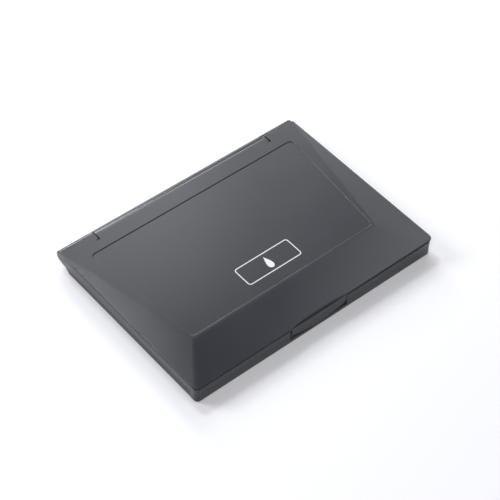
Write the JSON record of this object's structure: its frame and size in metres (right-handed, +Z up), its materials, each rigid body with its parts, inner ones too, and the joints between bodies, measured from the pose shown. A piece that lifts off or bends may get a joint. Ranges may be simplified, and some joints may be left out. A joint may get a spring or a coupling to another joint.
{
  "type": "ink pad",
  "caption": "Large flat office ink pad: low hinged plastic case with a faceted lid, a pull tab over a finger scoop, and a framed cloth-covered felt pad inside.",
  "frame": {"origin": "on the table, under the middle of the closed case", "axes": "+X along the case's length, +Y towards the hinge, +Z up"},
  "size_m": [0.228, 0.1702, 0.0187],
  "materials": {
    "case_plastic": "fine satin moulded anthracite plastic",
    "lid_plastic": "fine satin moulded anthracite plastic",
    "pin_steel": "drawn steel wire",
    "insert_plastic": "matt black moulded plastic",
    "board_fibre": "pressed fibre board",
    "inked_felt": "dense felt soaked with black ink",
    "inked_foam": "open-cell foam soaked with black ink",
    "inked_cloth": "fine plain weave, damp with black ink"
  },
  "bodies": {
    "case": {"base_case": "case_plastic", "hinge_pin_left": "pin_steel", "hinge_pin_right": "pin_steel", "pad_pan": "insert_plastic", "pad_board": "board_fibre", "felt_core": "inked_felt", "foam_layer": "inked_foam", "ink_cloth": "inked_cloth", "pad_frame": "insert_plastic"},
    "lid": {"lid_shell": "lid_plastic"}
  },
  "joints": [
    {"name": "lid_hinge", "type": "hinge", "parent": "case", "child": "lid", "pos_m": [0, 0.0798, 0.0124], "axis": [-1, 0, 0], "range_deg": [0, 180]}
  ]
}
